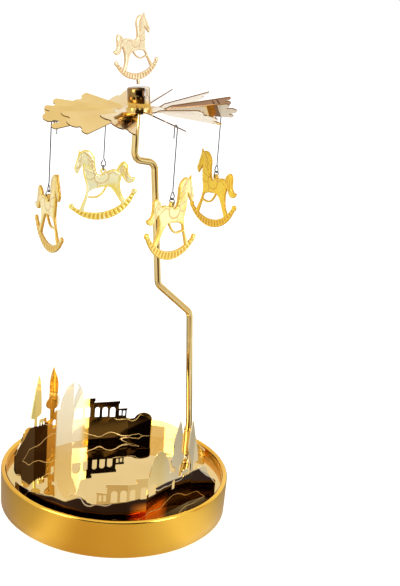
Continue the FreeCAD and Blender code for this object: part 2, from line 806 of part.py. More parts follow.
def horse_solid(length, with_eyelet):
    """Flat rocking horse in the XY plane, centred on its own thickness."""
    pieces = [outline_face(horse_points(runs, length)).extrude(UP * horse_plate)
              for runs in (horse_body_shares, horse_tail_shares, girth_hoop_shares)]
    pieces += rocker_band(length)
    if with_eyelet:
        pieces.append(Part.makeCylinder(eyelet_radius, horse_plate, Vector(eyelet_place, eyelet_height, 0)))
    horse = fused(pieces)
    if with_eyelet:
        hole = Part.makeCylinder(eyelet_hole_radius, horse_plate, Vector(eyelet_place, eyelet_height, 0))
        horse = horse.cut(hole)
    horse.translate(Vector(0, 0, -horse_plate / 2))
    return horse


def stood_up(shape, heading, anchor, place, tilt):
    """Turns a flat horse upright, faces it along its heading, tilts it head down and moves it."""
    shape.translate(-anchor)
    shape.rotate(Vector(0, 0, 0), UP, tilt)
    shape.rotate(Vector(0, 0, 0), Vector(1, 0, 0), FULL_TURN / 4)
    shape.rotate(Vector(0, 0, 0), UP, heading + FULL_TURN / 2)
    shape.translate(place)
    return shape


def hanging_horse(azimuth, heading, tilt):
    """Rocking horse that hangs by its eyelet from a jump ring."""
    horse = horse_solid(horse_length, True)
    contact = eyelet_height + eyelet_hole_radius - ring_wire_radius - ring_play
    anchor = Vector(eyelet_place, contact, 0)
    return stood_up(horse, heading, anchor, ring_bottom(azimuth), tilt)


def top_horse():
    """Smaller rocking horse on a stem above the hub."""
    length = horse_length * top_horse_share
    horse = horse_solid(length, False)
    low_side = rocker_low_share[1] - rocker_middle_width_share / 2
    low = Vector(rocker_low_share[0] * length, low_side * length, 0)
    hub_top = rotor_height + collar_height + hub_body_height
    stood = stood_up(horse, top_horse_heading, low, Vector(0, 0, hub_top + top_stem_height), 0)
    inset = rocker_middle_width_share * length / 2
    stem = Part.makeCylinder(top_stem_radius, top_stem_height + inset, Vector(0, 0, hub_top))
    foot = Part.makeCone(top_stem_foot_radius, top_stem_radius, top_stem_foot_height, Vector(0, 0, hub_top))
    return leaned(fused([stood, stem, foot]))


def build_pieces():
    """Every piece by its node name."""
    rear = landscape_strip(rear_fold_shares)
    front = landscape_strip(front_fold_shares)
    front.rotate(Vector(0, 0, 0), UP, FULL_TURN / 2)
    pieces = {
        "tray_shell": tray_shell(),
        "mirror_floor": mirror_floor(),
        "rear_landscape_strip": rear,
        "front_landscape_strip": front,
        "rod_socket": rod_socket(),
        "socket_washer": socket_washer(),
        "socket_nut": socket_nut(),
        "support_rod": support_rod(),
        "hub_cup": hub_cup(),
        "fan_collar": fan_collar(),
        "chime_fan": chime_fan(),
        "top_rocking_horse": top_horse(),
    }
    for name, azimuth, heading, tilt in zip(unit_names, hooked_azimuths, horse_headings, horse_tilts):
        pieces[name + "_hanger_wire"] = hanger_wire(azimuth, heading)
        pieces[name + "_jump_ring"] = jump_ring(azimuth, heading)
        pieces[name + "_rocking_horse"] = hanging_horse(azimuth, heading, tilt)
    return pieces


def main():
    """Builds each piece and writes it to its own file."""
    os.makedirs("parts", exist_ok=True)
    for name, shape in build_pieces().items():
        box = shape.BoundBox
        print(name, "solids", len(shape.Solids), "valid", shape.isValid(), "volume", round(shape.Volume, 2),
              "z", round(box.ZMin, 2), round(box.ZMax, 2))
        shape.exportStep("parts/" + name + ".step")


main()
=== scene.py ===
import json
import math
from functools import partial

import bmesh
import bpy
from mathutils import Matrix, Vector
from mathutils.kdtree import KDTree


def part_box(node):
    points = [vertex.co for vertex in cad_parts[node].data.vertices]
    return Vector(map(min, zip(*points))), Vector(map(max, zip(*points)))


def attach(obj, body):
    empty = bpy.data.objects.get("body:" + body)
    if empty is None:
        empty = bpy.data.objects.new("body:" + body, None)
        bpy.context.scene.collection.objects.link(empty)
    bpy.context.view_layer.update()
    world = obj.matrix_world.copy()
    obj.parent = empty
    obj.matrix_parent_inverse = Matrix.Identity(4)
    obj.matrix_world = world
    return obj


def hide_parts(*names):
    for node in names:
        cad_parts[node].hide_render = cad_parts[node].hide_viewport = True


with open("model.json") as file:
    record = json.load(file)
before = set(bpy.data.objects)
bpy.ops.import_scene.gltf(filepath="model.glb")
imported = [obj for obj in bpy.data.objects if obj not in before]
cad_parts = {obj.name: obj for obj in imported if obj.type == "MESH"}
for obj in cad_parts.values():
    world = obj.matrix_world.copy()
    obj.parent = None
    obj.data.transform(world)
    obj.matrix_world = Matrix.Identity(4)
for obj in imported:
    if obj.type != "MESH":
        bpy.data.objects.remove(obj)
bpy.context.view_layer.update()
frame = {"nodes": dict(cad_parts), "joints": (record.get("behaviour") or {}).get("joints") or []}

bl_info = {
    "name": "Angel Chime Carousel",
    "version": (1, 0, 0),
    "blender": (4, 5, 0),
    "location": "View3D > Sidebar > Carousel",
    "description": "Dresses a tealight carousel with a pierced landscape, a fan and rocking horses",
    "category": "Object",
}

UP = Vector((0, 0, 1))
MM = 0.001
UNITS = ("right", "rear", "left", "front")
JOINTS = {joint["name"]: joint for joint in frame["joints"]}

# Places that come with the frame
SPIN_POINT = Vector(JOINTS["rotor_spin"]["pos_m"])
TRAY_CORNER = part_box("tray_shell")[1]
TRAY_RADIUS = TRAY_CORNER.x
TRAY_HEIGHT = TRAY_CORNER.z
FLOOR_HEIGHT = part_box("mirror_floor")[1].z


# Settings that a user would change

class FinishColours(bpy.types.PropertyGroup):
    """Colours of the carousel's metals."""
    satin_gold: bpy.props.FloatVectorProperty(
        name="Satin gold", description="Spun outer wall of the tray", subtype="COLOR", size=3,
        default=(0.97, 0.52, 0.065))
    mirror_gold: bpy.props.FloatVectorProperty(
        name="Mirror gold", description="Polished floor of the tray", subtype="COLOR", size=3,
        default=(0.82, 0.58, 0.225))
    landscape_gold: bpy.props.FloatVectorProperty(
        name="Landscape gold", description="Polished pierced strips", subtype="COLOR", size=3,
        default=(0.90, 0.66, 0.24))
    rod_gold: bpy.props.FloatVectorProperty(
        name="Rod gold", description="Polished rod, socket and hub", subtype="COLOR", size=3,
        default=(0.86, 0.655, 0.28))
    blade_gold: bpy.props.FloatVectorProperty(
        name="Blade gold", description="Pale polished fan", subtype="COLOR", size=3,
        default=(0.86, 0.60, 0.215))
    charm_gold: bpy.props.FloatVectorProperty(
        name="Charm gold", description="Yellow rocking horses", subtype="COLOR", size=3,
        default=(1.0, 0.78, 0.16))
    pale_charm: bpy.props.FloatVectorProperty(
        name="Pale charm", description="Paler gold of the top horse", subtype="COLOR", size=3,
        default=(1.0, 0.80, 0.50))
    steel: bpy.props.FloatVectorProperty(
        name="Steel", description="Drawn wire, rings, nut and washer", subtype="COLOR", size=3,
        default=(0.13, 0.125, 0.12))


class CharmShape(bpy.types.PropertyGroup):
    """Sizes of the stamped relief on the horses."""
    length: bpy.props.FloatProperty(
        name="Length", description="Rocker's chord", unit="LENGTH", default=24.5 * MM)
    plate: bpy.props.FloatProperty(
        name="Plate", description="Thickness at the outline", unit="LENGTH", default=0.6 * MM)
    top_share: bpy.props.FloatProperty(
        name="Top horse share", description="Size of the top horse beside the others", default=0.77)
    crown: bpy.props.FloatProperty(
        name="Crown", description="Rise of the rounded body over the plate", unit="LENGTH", default=0.35 * MM)
    crown_reach: bpy.props.FloatProperty(
        name="Crown reach", description="Distance from the outline at which the crown is full",
        unit="LENGTH", default=1.1 * MM)
    line_height: bpy.props.FloatProperty(
        name="Line height", description="Rise of straps and hair", unit="LENGTH", default=0.14 * MM)
    cell: bpy.props.FloatProperty(
        name="Cell", description="Spacing of the modelling grid", unit="LENGTH", default=0.28 * MM)


class StudioSettings(bpy.types.PropertyGroup):
    """Camera place and light levels."""
    camera_distance: bpy.props.FloatProperty(
        name="Camera distance", description="Level distance from the axis", unit="LENGTH", default=372.1 * MM)
    camera_height: bpy.props.FloatProperty(
        name="Camera height", description="Height over the table", unit="LENGTH", default=202.6 * MM)
    camera_dip: bpy.props.FloatProperty(
        name="Camera dip", description="Angle below the horizon", subtype="ANGLE", default=0.30805)
    camera_pan: bpy.props.FloatProperty(
        name="Camera pan", description="Turn towards the viewer's right", subtype="ANGLE", default=0.070485)
    camera_roll: bpy.props.FloatProperty(
        name="Camera roll", description="Roll of the picture", subtype="ANGLE", default=0.083409)
    focal_length: bpy.props.FloatProperty(
        name="Focal length", description="Lens in millimetres for a 36 mm tall frame", default=67.58)
    key_power: bpy.props.FloatProperty(
        name="Key power", description="Power of the large soft lamp", unit="POWER", default=2.6)
    fill_power: bpy.props.FloatProperty(
        name="Fill power", description="Power of the opposite lamp", unit="POWER", default=1.6)
    ambient: bpy.props.FloatProperty(
        name="Ambient", description="Strength of the room's soft light", default=0.75)


def greys(*stops):
    """Colour stops from pairs of a place and a level."""
    return [(place, (level,) * 3) for place, level in stops]


# Landscape strips. Folds are (azimuth, reach as a share of the tray's radius), the front strip's from
# -X. SHEET_LENGTH is the rear fold table's whole run.
LANDSCAPE_HEIGHT = 34.1 * MM
FOLD_SHARES = {
    "rear": (
        (177, 0.898), (158, 0.802), (147, 0.757), (139, 0.743), (125, 0.729), (112, 0.731), (83, 0.793),
        (69, 0.893), (60, 0.905), (52, 0.925), (27, 0.920),
    ),
    "front": (
        (164.5, 0.915), (146.5, 0.774), (107.5, 0.888), (97, 0.903), (86, 0.912), (75, 0.915), (64, 0.915),
        (53, 0.915), (42, 0.915), (31, 0.915), (20, 0.915),
    ),
}
SHEET_LENGTH = 91.9 * MM
# Tables by the share of the strip's length from its tree end: the crests' height as a share of
# LANDSCAPE_HEIGHT, and how much of each tone the sheet is painted with. The tones stand in for
# what the sheet reflects in the photograph.
HILL_CRESTS = greys(
    (0.00, 0.16), (0.05, 0.25), (0.10, 0.36), (0.16, 0.34), (0.22, 0.35), (0.28, 0.365), (0.37, 0.36),
    (0.41, 0.30), (0.50, 0.26), (0.60, 0.225), (0.64, 0.29), (0.70, 0.20), (0.76, 0.205), (0.82, 0.17),
    (0.90, 0.14), (1.00, 0.10))
BROWN_RUNS = greys(
    (0.00, 1.0), (0.203, 1.0), (0.207, 0.0), (0.583, 0.0), (0.587, 1.0), (0.690, 1.0), (0.694, 0.0),
    (1.00, 0.0))
CASTLE_RUNS = greys((0.00, 0.0), (0.411, 0.0), (0.415, 0.92), (0.587, 0.92), (0.589, 0.0), (1.00, 0.0))
SILVERY_REFLECTION_RUNS = greys((0.00, 1.0), (0.27, 1.0), (0.32, 0.15), (1.00, 0.15))
RED_REFLECTION_RUNS = greys((0.00, 0.0), (0.27, 0.0), (0.32, 1.0), (0.40, 1.0), (0.46, 0.0), (1.00, 0.0))
PALE_RUNS = greys(
    (0.00, 0.0), (0.251, 0.0), (0.257, 1.0), (0.370, 1.0), (0.405, 0.0), (0.696, 0.0), (0.700, 0.30),
    (0.84, 0.20), (1.00, 0.0))
PALE_CYPRESS = greys((0.00, 0.0), (0.10, 0.0), (0.11, 0.75), (0.18, 0.75), (0.19, 0.0), (1.00, 0.0))

# Painted light on the four hanging horses, each lit in its own way: a factor on the charm gold for
# the rim's painted shade, one for the body, and the painted highlight's own colour.
CHARM_PAINTED_LIGHT = {
    "right": ((0.76, 0.55, 0.22), (1.0, 0.82, 0.30), (1.0, 0.70, 0.06)),
    "rear": ((0.90, 0.76, 0.55), (1.0, 1.06, 1.1), (1.0, 0.99, 0.66)),
    "left": ((0.60, 0.42, 0.26), (0.80, 0.74, 0.80), (0.84, 0.70, 0.32)),
    "front": ((0.80, 0.60, 0.36), (1.0, 1.0, 1.0), (1.0, 0.95, 0.48)),
}

# Tones painted on the fan in place of its reflections: pale from x = 6 mm to the right, and brown on
# stretches of two blades, each with its azimuth, first reach and last reach.
PALE_BLADE_COLOUR = (1.0, 0.86, 0.64)
PALE_BLADE_START = 6 * MM
PALE_BLADE_FULL = 12 * MM
PALE_BLADE_LOSS = 0.55
BROWN_BLADE_COLOUR = (0.38, 0.14, 0.01)
BROWN_BLADES = ((18.0, 11 * MM, 40 * MM), (-12.0, 23.8 * MM, 27.6 * MM))
BLADE_HALF_TURN = 0.27

# Tones painted on the hub's side in place of its reflections, by turns from -X, and the height over
# the needle's point below which they end.
HUB_TONES = [
    (0.00, (0.55, 0.33, 0.10)), (0.05, (0.30, 0.17, 0.05)), (0.20, (0.30, 0.17, 0.05)),
    (0.23, (0.42, 0.27, 0.10)), (0.26, (0.10, 0.05, 0.015)), (0.34, (0.04, 0.02, 0.01)),
    (0.37, (1.0, 0.93, 0.80)), (0.42, (1.0, 0.93, 0.80)), (0.44, (0.20, 0.12, 0.05)),
    (0.47, (0.85, 0.58, 0.18)), (1.00, (0.55, 0.33, 0.10)),
]
HUB_SIDE_FOOT = -4.4 * MM

# What only reflections see, by turns from -X. It isn't the white that the camera sees: these bands
# stand in for the room that the photograph's gold reflects. ROOM is the surround and the floor's far
# part, FAR_TABLE the floor round the object, and NEAR_TABLE the floor beside the tray.
DARK = (0.03, 0.022, 0.015)
ROOM = [
    (0.00, (0.85, 0.85, 0.85)), (0.04, (1.0, 1.0, 1.0)), (0.14, (1.0, 1.0, 1.0)), (0.17, DARK), (0.34, DARK),
    (0.375, (1.0, 1.0, 1.0)), (0.47, (1.0, 1.0, 1.0)), (0.49, (0.55, 0.38, 0.22)), (0.53, (0.75, 0.55, 0.35)),
    (0.58, (0.95, 0.95, 0.95)), (0.70, (1.0, 1.0, 1.0)), (1.00, (0.85, 0.85, 0.85)),
]
FAR_TABLE = [
    (0.00, (0.60, 0.52, 0.40)), (0.05, (0.97, 0.97, 0.97)), (0.25, (1.0, 1.0, 1.0)),
    (0.275, (0.16, 0.10, 0.05)), (0.41, (0.10, 0.06, 0.03)), (0.44, (0.75, 0.70, 0.60)),
    (0.50, (0.92, 0.92, 0.92)), (0.94, (0.97, 0.97, 0.97)), (1.00, (0.60, 0.52, 0.40)),
]
NEAR_TABLE = [
    (0.00, (0.42, 0.44, 0.50)), (0.06, (0.46, 0.47, 0.52)), (0.11, (0.62, 0.58, 0.54)),
    (0.14, (0.98, 0.96, 0.92)), (0.165, (0.80, 0.72, 0.62)), (0.19, (0.62, 0.50, 0.36)),
    (0.28, (0.60, 0.48, 0.34)), (0.34, (0.76, 0.70, 0.62)), (0.37, (1.0, 0.98, 0.94)),
    (0.42, (0.88, 0.88, 0.88)), (0.46, (0.62, 0.62, 0.62)), (0.50, (0.42, 0.44, 0.48)),
    (0.62, (0.24, 0.23, 0.22)), (0.72, (0.24, 0.23, 0.22)), (0.78, (0.42, 0.44, 0.50)),
    (1.00, (0.42, 0.44, 0.50)),
]
NEAR_TABLE_END, FAR_TABLE_START = 0.10, 0.22
FAR_TABLE_END, ROOM_START = 1.0, 2.0
FLOOR_RADIUS = 3.0
FLOOR_GLOW = 0.62
CEILING_COLOUR = (0.95, 0.95, 0.95)
MIDDLE = Vector((0, 0, 0.09))

# Plating is partly metallic on the horses, so that it keeps its own colour.
CHARM_METALLIC = 0.3


# Shader expressions

class Signal:
    """A shader value that takes part in Python sums."""

    def __init__(self, paint, socket):
        self.paint = paint
        self.socket = socket

    def apply(self, operation, *others):
        """This value and others through one Math node."""
        sockets = dict(enumerate((self, *others)))
        return self.paint.node("ShaderNodeMath", {"operation": operation}, sockets).signal("Value")

    def reflected(self, operation, first):
        """A number and this value through one Math node."""
        sockets = {0: first, 1: self}
        return self.paint.node("ShaderNodeMath", {"operation": operation}, sockets).signal("Value")

    def __add__(self, other):
        return self.apply("ADD", other)

    def __radd__(self, other):
        return self.reflected("ADD", other)

    def __sub__(self, other):
        return self.apply("SUBTRACT", other)

    def __rsub__(self, other):
        return self.reflected("SUBTRACT", other)

    def __mul__(self, other):
        return self.apply("MULTIPLY", other)

    def __rmul__(self, other):
        return self.reflected("MULTIPLY", other)

    def __truediv__(self, other):
        return self.apply("DIVIDE", other)

    def __pow__(self, other):
        return self.apply("POWER", other)

    def between(self, low, high):
        """0 under the low value, 1 over the high one, smooth between."""
        settings = {"interpolation_type": "SMOOTHSTEP"}
        sockets = {"Value": self, "From Min": low, "From Max": high}
        return self.paint.node("ShaderNodeMapRange", settings, sockets).signal("Result")


class Knot:
    """One shader node."""

    def __init__(self, paint, node):
        self.paint = paint
        self.node = node

    def signal(self, name):
        """An output as a value for expressions."""
        return Signal(self.paint, self.node.outputs[name])


class Paint:
    """Builds one material's or world's nodes."""

    def __init__(self, tree):
        self.tree = tree
        tree.nodes.clear()

    def node(self, kind, settings=None, sockets=None):
        """One node with its settings, then the values or links of its sockets."""
        node = self.tree.nodes.new(kind)
        for name, value in (settings or {}).items():
            if name == "stops":
                ramp = node.color_ramp
                while len(ramp.elements) < len(value):
                    ramp.elements.new(0.5)
                for element, (place, colour) in zip(ramp.elements, value):
                    element.position = place
                    element.color = (*colour, 1)
            else:
                setattr(node, name, value)
        for name, value in (sockets or {}).items():
            socket = node.inputs[name]
            if isinstance(value, Signal):
                self.tree.links.new(value.socket, socket)
            elif socket.type == "RGBA" and len(value) == 3:
                socket.default_value = (*value, 1)
            else:
                socket.default_value = value
        return Knot(self, node)

    def place(self):
        """Coordinates in the object's own frame."""
        return self.node("ShaderNodeTexCoord").signal("Object")

    def stored(self, name):
        """A value that the mesh stores."""
        return self.node("ShaderNodeAttribute", {"attribute_name": name}).signal("Fac")

    def turn(self, x, y):
        """Turns from -X round the origin, 0 to 1."""
        return y.apply("ARCTAN2", x) / (2 * math.pi) + 0.5

    def seen(self, ray):
        """1 for rays from the camera, also through glass."""
        return ray.signal("Is Camera Ray").apply("MAXIMUM", ray.signal("Is Transmission Ray"))

    def split(self, vector):
        """The three parts of a vector."""
        parts = self.node("ShaderNodeSeparateXYZ", None, {"Vector": vector})
        return parts.signal("X"), parts.signal("Y"), parts.signal("Z")

    def joined(self, x, y, z):
        """A vector from three parts."""
        return self.node("ShaderNodeCombineXYZ", None, {"X": x, "Y": y, "Z": z}).signal("Vector")

    def noise(self, vector, scale, detail=2.0, roughness=0.5):
        """Smooth noise from 0 to 1."""
        sockets = {"Vector": vector, "Scale": scale, "Detail": detail, "Roughness": roughness}
        return self.node("ShaderNodeTexNoise", None, sockets).signal("Fac")

    def ramp(self, value, stops):
        """A colour from a value."""
        return self.node("ShaderNodeValToRGB", {"stops": stops}, {"Fac": value}).signal("Color")

    def mixed(self, share, first, second):
        """Two colours mixed."""
        settings = {"data_type": "RGBA"}
        knot = self.node("ShaderNodeMix", settings, {0: share, 6: first, 7: second})
        return Signal(self, knot.node.outputs[2])

    def bump(self, height, distance, strength=1.0):
        """A normal from a height."""
        sockets = {"Height": height, "Distance": distance, "Strength": strength}
        return self.node("ShaderNodeBump", None, sockets).signal("Normal")


def metal(name, colour, roughness, normal=None, fixed=None, metallic=None):
    """A metal whose colour, roughness, normal and metallic share come from functions of a Paint."""
    material = bpy.data.materials.new(name)
    material.use_nodes = True
    paint = Paint(material.node_tree)
    sockets = {"Base Color": colour(paint), "Roughness": roughness(paint), "Metallic": 1.0}
    if normal is not None:
        sockets["Normal"] = normal(paint)
    if metallic is not None:
        sockets["Metallic"] = metallic(paint)
    sockets.update(fixed or {})
    shader = paint.node("ShaderNodeBsdfPrincipled", None, sockets)
    paint.node("ShaderNodeOutputMaterial", None, {"Surface": shader.signal("BSDF")})
    return material


def tinted(colour, factor):
    """A colour with each part multiplied."""
    return tuple(min(1.0, part * scale) for part, scale in zip(colour, factor))


# Finishes

def satin_finish():
    """Spun and lacquered gold of the tray, polished where the lip rolls over."""
    gold = bpy.context.scene.carousel_colours.satin_gold
    rise = TRAY_HEIGHT - 1.2 * MM

    def lines(paint):
        x, y, z = paint.split(paint.place())
        return paint.noise(paint.joined(x * 30.0, y * 30.0, z * 9000.0), 1.0, 3.0, 0.6)

    def colour(paint):
        x, y, z = paint.split(paint.place())
        patches = paint.noise(paint.joined(x * 18.0, y * 18.0, z * 4.0), 1.0, 2.0)
        deep, light = tinted(gold, (0.86, 0.78, 0.62)), tinted(gold, (1.1, 1.12, 1.15))
        base = paint.mixed(patches.between(0.35, 0.7), deep, light)
        return paint.mixed(lines(paint) * 0.25, base, tinted(gold, (1.2, 1.35, 1.7)))

    def roughness(paint):
        x, y, z = paint.split(paint.place())
        lip = z.between(rise, rise + 0.5 * MM)
        return (lines(paint) * 0.12 + 0.26) * (1 - lip) + lip * 0.09

    def normal(paint):
        return paint.bump(lines(paint), 0.02 * MM, 0.35)

    return metal("satin_gold_spun", colour, roughness, normal, {"Anisotropic": 0.35})


def mirror_finish():
    """Mirror gold of the tray's floor, with the faint waves of a pressed sheet."""
    gold = bpy.context.scene.carousel_colours.mirror_gold

    def colour(paint):
        cloud = paint.noise(paint.place(), 45.0, 2.0)
        deep, light = tinted(gold, (0.97, 0.96, 0.94)), tinted(gold, (1.03, 1.03, 1.05))
        return paint.mixed(cloud.between(0.3, 0.7), deep, light)

    def roughness(paint):
        return paint.noise(paint.place(), 900.0, 3.0) * 0.03 + 0.015

    def normal(paint):
        return paint.bump(paint.noise(paint.place(), 60.0, 1.0), 0.05 * MM, 0.25)

    return metal("mirror_gold_pressed", colour, roughness, normal)


def landscape_finish():
    """Thin polished gold sheet with soft waves, painted reflections and bright contour lines on its hills."""
    gold = bpy.context.scene.carousel_colours.landscape_gold

    def height(paint):
        x, y, z = paint.split(paint.place())
        return (z - FLOOR_HEIGHT) / LANDSCAPE_HEIGHT

    def run(paint):
        return paint.stored("run")

    def hills(paint):
        """1 on the hills, 0 over their crests."""
        return (paint.ramp(run(paint), HILL_CRESTS) - height(paint)).between(-0.004, 0.010)

    def front(paint):
        x, y, z = paint.split(paint.place())
        return y.apply("LESS_THAN", 0.0)

    def brown_reflection(paint):
        """Share of the brown painted reflection: all hills of the front strip, and the rear strip's outer
        hills and castle.
        """
        outer = paint.ramp(run(paint), BROWN_RUNS) * hills(paint)
        rear = paint.ramp(run(paint), CASTLE_RUNS).apply("MAXIMUM", outer)
        return rear * (1 - front(paint)) + hills(paint) * front(paint)

    def pale_reflection(paint):
        """Share of the pale painted reflection: the rear strip's cypress, and its round tree with what lies
        under it.
        """
        tree = paint.ramp(run(paint), PALE_CYPRESS) * (1 - hills(paint))
        return tree.apply("MAXIMUM", paint.ramp(run(paint), PALE_RUNS)) * (1 - front(paint))

    def red_reflection(paint):
        """Share of the red painted reflection low on the front strip, under the castle."""
        low = 1 - height(paint).between(0.17, 0.26)
        return paint.ramp(run(paint), RED_REFLECTION_RUNS) * low * front(paint)

    def contours(paint):
        """1 on the etched lines of the hills."""
        hill = paint.ramp(run(paint), HILL_CRESTS) - height(paint)
        wave = paint.noise(paint.joined(run(paint) * 7.0, height(paint) * 2.0, 0.0), 1.0, 1.0) * 2.0
        line = ((hill * 4.5 + wave) * 2 * math.pi).apply("COSINE").between(0.970, 0.999)
        return line * hills(paint) * (1 - pale_reflection(paint))

    def colour(paint):
        cloud = paint.noise(paint.place(), 80.0, 2.0)
        deep, light = tinted(gold, (0.95, 0.92, 0.85)), tinted(gold, (1.04, 1.05, 1.1))
        sheet = paint.mixed(cloud.between(0.3, 0.7), deep, light)
        # Painted reflections: a silvery one on the front strip, strong near its tree end and faint further
        # on, then the brown, red and pale ones.
        silvery_reflection = paint.mixed(paint.ramp(run(paint), SILVERY_REFLECTION_RUNS), sheet, tinted(gold, (1.05, 1.18, 1.95)))
        pale = paint.mixed(front(paint), sheet, silvery_reflection)
        rear_brown, front_brown = tinted(gold, (0.075, 0.06, 0.09)), tinted(gold, (0.045, 0.03, 0.05))
        brown = paint.mixed(front(paint), rear_brown, front_brown)
        dark = paint.mixed(brown_reflection(paint), pale, brown)
        red = paint.mixed(red_reflection(paint), dark, (0.85, 0.26, 0.03))
        lined = paint.mixed(contours(paint) * 0.85, red, tinted(gold, (1.05, 1.25, 2.6)))
        # Colour of the pale painted reflection, yellower on the cypress.
        pale_reflection_colour = paint.mixed(paint.ramp(run(paint), PALE_CYPRESS), (1.0, 0.97, 0.80), (1.0, 0.92, 0.22))
        return paint.mixed(pale_reflection(paint), lined, pale_reflection_colour)

    def metallic(paint):
        # The pale painted reflection is made mostly non-metallic, so that its pale colour shows by itself.
        return 1 - pale_reflection(paint) * 0.85

    def roughness(paint):
        return paint.noise(paint.place(), 1200.0, 3.0) * 0.05 + 0.035 + contours(paint) * 0.25

    def normal(paint):
        waves = paint.noise(paint.place(), 90.0, 1.5)
        return paint.bump(waves * 0.10 + contours(paint) * 0.05, 1.0 * MM, 0.35)

    return metal("landscape_gold_sheet", colour, roughness, normal, metallic=metallic)


def rod_finish():
    """Drawn and plated gold rod, with faint lines along it and worn, paler spots."""
    gold = bpy.context.scene.carousel_colours.rod_gold

    def colour(paint):
        wear = paint.noise(paint.place(), 160.0, 3.0)
        return paint.mixed(wear.between(0.55, 0.75), gold[:], tinted(gold, (1.08, 1.15, 1.35)))

    def roughness(paint):
        return paint.noise(paint.place(), 500.0, 3.0) * 0.05 + 0.04

    def normal(paint):
        x, y, z = paint.split(paint.place())
        drawn = paint.noise(paint.joined(x * 400.0, y * 400.0, z * 20.0), 1.0, 2.0)
        return paint.bump(drawn, 0.01 * MM, 0.15)

    return metal("rod_gold_drawn", colour, roughness, normal)


def hub_finish():
    """Turned and plated hub, with painted tones round its side in place of reflections."""
    gold = bpy.context.scene.carousel_colours.rod_gold

    def turn(paint):
        x, y, z = paint.split(paint.place())
        return paint.turn(x - SPIN_POINT.x, y - SPIN_POINT.y)

    def colour(paint):
        rings = paint.noise(paint.joined(turn(paint) * 40.0, 0.0, 0.0), 1.0, 2.0)
        tones = paint.ramp(turn(paint) + rings * 0.01, HUB_TONES)
        x, y, z = paint.split(paint.place())
        side = (z - SPIN_POINT.z).between(HUB_SIDE_FOOT, HUB_SIDE_FOOT + 0.2 * MM)
        return paint.mixed(side, gold[:], tones)

    def roughness(paint):
        return paint.noise(paint.place(), 700.0, 3.0) * 0.05 + 0.05

    def normal(paint):
        lathe = paint.noise(paint.joined(0.0, 0.0, turn(paint) * 90.0), 1.0, 1.0)
        return paint.bump(lathe, 0.02 * MM, 0.3)

    return metal("hub_gold_turned", colour, roughness, normal)


def blade_finish():
    """Pale polished gold of the fan, with the waves of a thin sheet, painted reflections on its right and cut
    edges painted dark as shade.
    """
    gold = bpy.context.scene.carousel_colours.blade_gold

    def pale_blade_reflection(paint):
        """Share of the pale painted reflection on the fan's right side."""
        x, y, z = paint.split(paint.place())
        ragged = x + paint.noise(paint.place(), 120.0, 2.0) * (4 * MM)
        return ragged.between(PALE_BLADE_START, PALE_BLADE_FULL)

    def inside(value, low, high, soft):
        """1 from the low value to the high one."""
        return value.between(low, low + soft) * (1 - value.between(high, high + soft))

    def on_blade(paint, azimuth, first, last):
        """1 on a stretch of one blade."""
        x, y, z = paint.split(paint.place())
        heading = math.radians(azimuth)
        along = x * math.cos(heading) + y * math.sin(heading)
        aside = (y * math.cos(heading) - x * math.sin(heading)) / along
        width = inside(aside, -BLADE_HALF_TURN - 0.01, BLADE_HALF_TURN - 0.01, 0.02)
        return width * inside(along, first, last, 0.3 * MM)

    def brown_reflection(paint):
        """Share of the brown painted reflection."""
        first, second = (on_blade(paint, *place) for place in BROWN_BLADES)
        return first + second

    def colour(paint):
        cloud = paint.noise(paint.place(), 70.0, 2.0)
        deep, light = tinted(gold, (0.98, 0.95, 0.90)), tinted(gold, (1.05, 1.07, 1.12))
        sheet = paint.mixed(cloud.between(0.35, 0.7), deep, light)
        sheet = paint.mixed(pale_blade_reflection(paint), sheet, PALE_BLADE_COLOUR)
        sheet = paint.mixed(brown_reflection(paint), sheet, BROWN_BLADE_COLOUR)
        # The cut edges are painted dark brown, as shade.
        return paint.mixed(paint.stored("rim"), sheet, tinted(gold, (0.28, 0.20, 0.16)))

    def roughness(paint):
        return paint.noise(paint.place(), 900.0, 3.0) * 0.05 + 0.05

    def normal(paint):
        return paint.bump(paint.noise(paint.place(), 110.0, 1.5), 0.12 * MM, 0.35)

    def metallic(paint):
        # The pale painted reflection is made partly non-metallic, except where the brown one lies over it.
        return 1 - pale_blade_reflection(paint) * (1 - brown_reflection(paint)) * PALE_BLADE_LOSS

    return metal("blade_gold_sheet", colour, roughness, normal, metallic=metallic)


def stamped(name, rim, body, glow):
    """Plated gold from a painted shade at the rim over the body's colour to a painted highlight (the glow),
    with lines painted brown as shade.
    """

    def colour(paint):
        rise = paint.stored("relief")
        grain = paint.noise(paint.place(), 700.0, 3.0) * 0.2
        cloud = paint.noise(paint.place(), 150.0, 2.0)
        # Painted shade: the low relief by the outline takes the rim colour.
        flank = paint.mixed((rise + grain).between(0.22, 0.42), rim, body)
        # Painted highlight: the high relief of the crown takes the glow.
        full = paint.mixed((rise + cloud * 0.9).between(0.78, 1.05), flank, glow)
        # The raised lines are painted brown, as shade.
        line = paint.stored("line").between(0.35, 0.95) * 0.6
        return paint.mixed(line, full, tinted(rim, (0.85, 0.66, 0.4)))

    def roughness(paint):
        return paint.noise(paint.place(), 900.0, 3.0) * 0.10 + 0.14

    def normal(paint):
        return paint.bump(paint.noise(paint.place(), 1500.0, 3.0), 0.015 * MM, 0.5)

    return metal(name, colour, roughness, normal, {"Metallic": CHARM_METALLIC})


def charm_finish(unit):
    """Yellow plated gold of one hanging horse, with its own painted shade and highlight."""
    gold = bpy.context.scene.carousel_colours.charm_gold
    rim, body, glow = CHARM_PAINTED_LIGHT[unit]
    return stamped("charm_gold_" + unit, tinted(gold, rim), tinted(gold, body), glow)


def pale_charm_finish():
    """Paler gold of the top horse, with a painted shade at its rim and a painted highlight."""
    gold = bpy.context.scene.carousel_colours.pale_charm
    rim, body = tinted(gold, (0.74, 0.64, 0.56)), tinted(gold, (0.96, 0.98, 0.95))
    return stamped("pale_gold_plated", rim, body, (0.94, 0.83, 0.56))


